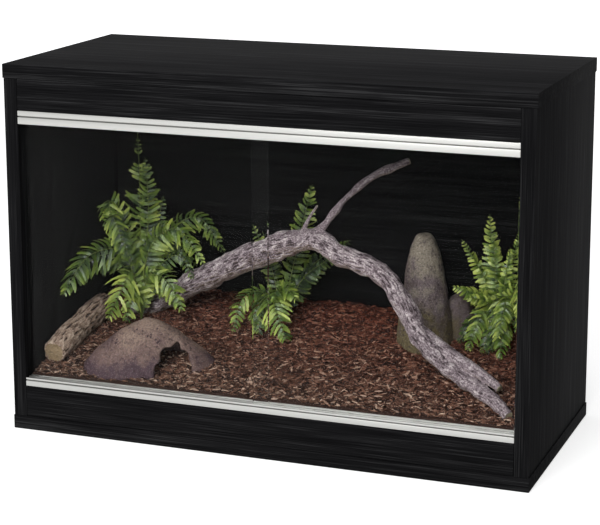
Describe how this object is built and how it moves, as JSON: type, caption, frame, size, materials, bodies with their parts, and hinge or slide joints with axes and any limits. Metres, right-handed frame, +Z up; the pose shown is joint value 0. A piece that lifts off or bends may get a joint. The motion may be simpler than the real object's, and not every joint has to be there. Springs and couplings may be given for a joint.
{
  "type": "terrarium cabinet",
  "caption": "Tabletop terrarium cabinet of black wood-grain board with two sliding glass panes in silver runners, dressed with bark, a branch, stones and ferns.",
  "frame": {"origin": "centre of the base board's underside, on the surface the cabinet stands on", "axes": "+X to the right along the cabinet's width, +Y to the back, +Z up; the glass is at -Y"},
  "size_m": [0.575, 0.26, 0.4],
  "materials": {
    "laminate_flat": "black ash-grain melamine board, grain along the cabinet's width",
    "laminate_upright": "black ash-grain melamine board, grain upright",
    "laminate_back": "black ash-grain faced hardboard, grain along the cabinet's width",
    "runner_aluminium": "satin anodised extrusion",
    "float_glass": "clear, ground edges",
    "black_plastic": "moulded, fine texture",
    "bolt_steel": "zinc plated",
    "cam_zinc": "die-cast zinc",
    "dowel_beech": "raw turned beech",
    "bark_chips": "loose shredded bark, red-brown",
    "hide_stone": "cast stone, mottled brown and mauve",
    "cone_stone": "worn grey-brown stone",
    "branch_wood": "weathered grey bark",
    "log_bark": "rough brown bark",
    "fern_leaf": "green fern fronds, satin"
  },
  "bodies": {
    "cabinet": {"top_panel": "laminate_flat", "base_panel": "laminate_flat", "side_panel_left": "laminate_upright", "side_panel_right": "laminate_upright", "back_panel": "laminate_back", "top_rail": "laminate_flat", "bottom_rail": "laminate_flat", "top_runner": "runner_aluminium", "bottom_runner": "runner_aluminium", "vent_left": "black_plastic", "vent_right": "black_plastic", "cable_port_ring": "black_plastic", "cam_bolt_left_base_front": "bolt_steel", "cam_lock_left_base_front": "cam_zinc", "dowel_left_base_front": "dowel_beech", "cam_bolt_left_base_rear": "bolt_steel", "cam_lock_left_base_rear": "cam_zinc", "dowel_left_base_rear": "dowel_beech", "cam_bolt_left_top_front": "bolt_steel", "cam_lock_left_top_front": "cam_zinc", "dowel_left_top_front": "dowel_beech", "cam_bolt_left_top_rear": "bolt_steel", "cam_lock_left_top_rear": "cam_zinc", "dowel_left_top_rear": "dowel_beech", "cam_bolt_right_base_front": "bolt_steel", "cam_lock_right_base_front": "cam_zinc", "dowel_right_base_front": "dowel_beech", "cam_bolt_right_base_rear": "bolt_steel", "cam_lock_right_base_rear": "cam_zinc", "dowel_right_base_rear": "dowel_beech", "cam_bolt_right_top_front": "bolt_steel", "cam_lock_right_top_front": "cam_zinc", "dowel_right_top_front": "dowel_beech", "cam_bolt_right_top_rear": "bolt_steel", "cam_lock_right_top_rear": "cam_zinc", "dowel_right_top_rear": "dowel_beech", "dowel_top_rail_left": "dowel_beech", "dowel_bottom_rail_left": "dowel_beech", "dowel_top_rail_right": "dowel_beech", "dowel_bottom_rail_right": "dowel_beech", "bark_bed": "bark_chips", "rock_hide": "hide_stone", "cone_rock": "cone_stone", "branch": "branch_wood", "cork_log": "log_bark", "fern_left": "fern_leaf", "fern_middle": "fern_leaf", "fern_right": "fern_leaf"},
    "door_left": {"glass_door_left": "float_glass"},
    "door_right": {"glass_door_right": "float_glass"}
  },
  "joints": [
    {"name": "left_pane_slide", "type": "slide", "parent": "cabinet", "child": "door_left", "axis": [1, 0, 0], "range_m": [0, 0.2625]},
    {"name": "right_pane_slide", "type": "slide", "parent": "cabinet", "child": "door_right", "axis": [-1, 0, 0], "range_m": [0, 0.2625]}
  ]
}
